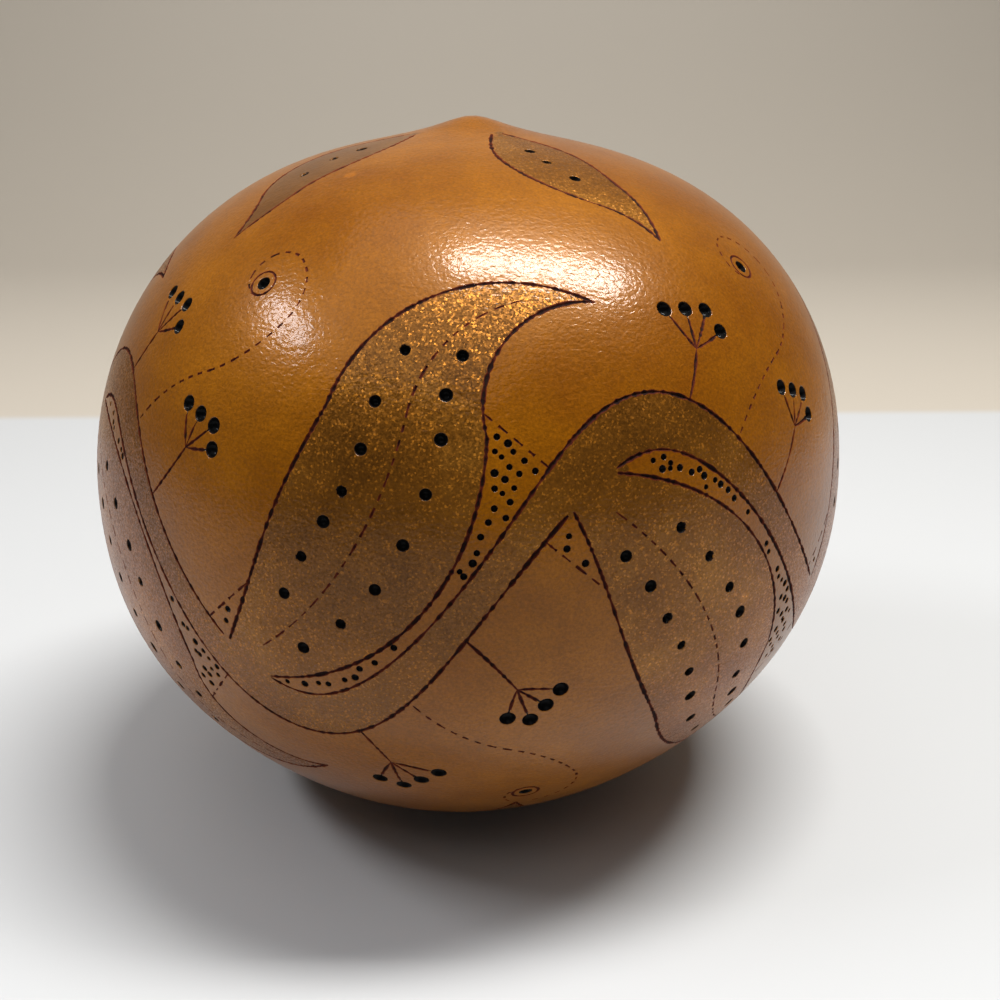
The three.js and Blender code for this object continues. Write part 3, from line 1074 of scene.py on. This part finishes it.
@dataclass(frozen=True)
class SkinFinish:
    """Gourd skin, dyed or washed, under satin varnish.

    The dye gathers in clouds and pores, and the skin's fine leathery wrinkles break up
    the varnish's highlights.
    """

    name: str
    dark: str
    middle: str
    light: str
    glow: str = "ffb45a"
    roughness: float = 0.38
    metallic: float = 0.0
    flakes: float = 0.0
    cloud_mm: float = 28.0
    blotch_mm: float = 6.0
    pore_mm: float = 0.5
    wrinkle_mm: float = 0.95
    wrinkle_depth_mm: float = 0.07
    wave_mm: float = 9.0
    flake_mm: float = 0.3
    spot_mm: float = 26.0

    def build(self) -> Material:
        """Return the material."""
        material, shader = new_material(
            self.name, Metallic=self.metallic, Roughness=self.roughness, Coat_Weight=0.4,
            Coat_Roughness=0.15, Specular_IOR_Level=0.4, Specular_Tint=linear(self.glow))
        tree = material.node_tree
        place = add_node(tree, "TexCoord").outputs["Object"]
        colour = self.dyed_colour(tree, place)
        relief = normal = self.relief(tree, place)
        if self.flakes:
            # Tilted flakes give real glints; a few flakes also get painted glints in the colour.
            normal, colour = self.flaked_with_painted_glints(tree, place, relief, colour)
        feed(shader, Base_Color=colour, Coat_Normal=relief, Normal=normal)
        return material

    def dyed_colour(self, tree: NodeTree, place: NodeSocket) -> Node:
        """Return the clouded, blotched and speckled colour of the dye.

        Args:
            tree: the material's node tree.
            place: the surface's place.

        Returns:
            The colour's node.
        """
        cloud = add_node(tree, "TexNoise", Vector=place, Scale=1 / (self.cloud_mm * MM), Detail=3.0,
                         Roughness=0.55, Distortion=0.4)
        blotch = add_node(tree, "TexNoise", Vector=place, Scale=1 / (self.blotch_mm * MM),
                          Detail=5.0, Roughness=0.65)
        both = add_node(tree, "Math", {"operation": "MULTIPLY_ADD"}, i0=blotch, i1=0.45, i2=cloud)
        tone = add_node(tree, "ValToRGB", Fac=both)
        ramp = tone.color_ramp.elements
        ramp[0].position, ramp[0].color = 0.5, linear(self.dark)
        ramp[1].position, ramp[1].color = 0.95, linear(self.light)
        ramp.new(0.72).color = linear(self.middle)
        pore = add_node(tree, "TexNoise", Vector=place, Scale=1 / (self.pore_mm * MM), Detail=3.0,
                        Roughness=0.7)
        speck = add_node(tree, "MapRange", Value=pore, From_Min=0.35, From_Max=0.7, To_Min=0.76,
                         To_Max=1.22)
        mottled = add_node(tree, "VectorMath", {"operation": "SCALE"}, i0=tone, Scale=speck)
        spot = add_node(tree, "TexVoronoi", Vector=place, Scale=1 / (self.spot_mm * MM))
        pale = add_node(tree, "MapRange", Value=spot.outputs["Distance"], From_Min=0.055,
                        From_Max=0.03, To_Min=1.0, To_Max=1.5)
        return add_node(tree, "VectorMath", {"operation": "SCALE"}, i0=mottled, Scale=pale)

    def relief(self, tree: NodeTree, place: NodeSocket) -> Node:
        """Return the normal of the leathery skin.

        Args:
            tree: the material's node tree.
            place: the surface's place.

        Returns:
            The normal's node.
        """
        flat = add_node(tree, "Mapping", Vector=place, Scale=(1.0, 1.0, 1.5))
        wrinkle = add_node(tree, "TexNoise", Vector=flat, Scale=1 / (self.wrinkle_mm * MM),
                           Detail=1.2, Roughness=0.5, Distortion=0.5)
        wave = add_node(tree, "TexNoise", Vector=place, Scale=1 / (self.wave_mm * MM), Detail=2.0)
        height = add_node(tree, "Math", {"operation": "MULTIPLY_ADD"}, i0=wave, i1=1.6, i2=wrinkle)
        return add_node(tree, "Bump", Height=height, Strength=1.0,
                        Distance=self.wrinkle_depth_mm * MM)

    def flaked_with_painted_glints(self, tree: NodeTree, place: NodeSocket, relief: Node,
               colour: Node) -> tuple[Node, Node]:
        """Tilt mica flakes at random, and paint a few of them brighter: painted glints that shine
        whatever the light.

        Args:
            tree: the material's node tree.
            place: the surface's place.
            relief: the normal of the skin.
            colour: the colour of the wash.

        Returns:
            The normal's node, and the colour's node with the painted glints.
        """
        # Real mica flakes are about 0.05 mm: they are drawn coarser, to show.
        flake = add_node(tree, "TexVoronoi", Vector=place,
                         Scale=1 / (self.flake_mm * MM)).outputs["Color"]
        tilt = add_node(tree, "VectorMath", {"operation": "SUBTRACT"}, i0=flake, i1=(0.5, 0.5, 0.5))
        strong = add_node(tree, "VectorMath", {"operation": "SCALE"}, i0=tilt, Scale=self.flakes)
        added = add_node(tree, "VectorMath", {"operation": "ADD"}, i0=strong, i1=relief)
        normal = add_node(tree, "VectorMath", {"operation": "NORMALIZE"}, i0=added)
        # Painted glints: flake cells past a threshold in their random colour get a brighter base
        # colour, whatever the light.
        top = add_node(tree, "MapRange", Value=flake, From_Min=0.72, From_Max=0.84, To_Min=0.97,
                       To_Max=1.85)
        return normal, add_node(tree, "VectorMath", {"operation": "SCALE"}, i0=colour, Scale=top)


@dataclass(frozen=True)
class Charring:
    """Burned gourd shell: scorched reddish brown at the sides of a cut and black in its depth."""

    name: str
    edge: str
    rim: str
    deep: str
    full_depth: float
    roughness: float
    coat: float
    soot_mm: float = 1.1
    blister_mm: float = 0.12

    def build(self) -> Material:
        """Return the material."""
        material, shader = new_material(
            self.name, Roughness=self.roughness, Specular_IOR_Level=0.1, Coat_Weight=self.coat,
            Coat_Roughness=0.12)
        tree = material.node_tree
        place = add_node(tree, "TexCoord").outputs["Object"]
        depth = add_node(tree, "Attribute", {"attribute_name": "depth"}).outputs["Fac"]
        soot = add_node(tree, "TexNoise", Vector=place, Scale=1 / (self.soot_mm * MM), Detail=3.0)
        full = add_node(tree, "MapRange", Value=soot, From_Min=0.35, From_Max=0.65,
                        To_Min=0.5 * self.full_depth, To_Max=2.0 * self.full_depth)
        burned = add_node(tree, "MapRange", Value=depth, From_Min=0.0, From_Max=full)
        colour = add_node(tree, "ValToRGB", Fac=burned)
        ramp = colour.color_ramp.elements
        ramp[0].color, ramp[1].color = linear(self.edge), linear(self.deep)
        ramp.new(0.45).color = linear(self.rim)
        bump = add_node(tree, "Bump", Height=soot, Strength=0.8, Distance=self.blister_mm * MM)
        feed(shader, Base_Color=colour, Normal=bump)
        return material


# The finishes in the order of Wash's numbers. To the eye, the dye is warm and clouded, the
# bronze glints with mica, from tilted flakes and from painted glints in its colour, the brown is
# plain and darker, the burned shell is matt reddish brown to black, and the pits are black with
# a faint gleam of varnish at their lips.
FINISHES = (
    SkinFinish("dyed_amber_gourd_skin", dark="784201", middle="844c01", light="935701"),
    SkinFinish("bronze_mica_wash", dark="633b0a", middle="76480f", light="8d5c1c", metallic=0.4,
               flakes=0.38, roughness=0.4),
    SkinFinish("plain_brown_wash", dark="54300a", middle="643c0e", light="744a18"),
    Charring("charred_shell", edge="6e2c0e", rim="491809", deep="1e0a06", full_depth=0.2,
             roughness=0.75, coat=0.0),
    Charring("drilled_pit_under_varnish", edge="2a140c", rim="150b08", deep="030304",
             full_depth=0.3, roughness=0.8, coat=0.1),
)


def main() -> None:
    """Build the gourd, dress it and set the studio round it."""
    logging.basicConfig(level=logging.INFO, format="%(message)s")
    form = GourdForm()
    pattern = VinePattern()
    pattern.draw()
    LOG.info("pattern: %d lines, %d pits", len(pattern.lines), len(pattern.pits))
    gourd = GourdCarver(form, pattern).build()
    for finish in FINISHES:
        gourd.data.materials.append(finish.build())
    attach(gourd, BODY)
    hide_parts(NODE)
    LOG.info("%s: %d faces", gourd.name, len(gourd.data.polygons))
    low, high = (Vector(corner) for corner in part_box(NODE))
    Studio().build(Vector(((low.x + high.x) / 2, (low.y + high.y) / 2, form.centre_height * MM)))


if __name__ == "__main__":
    main()
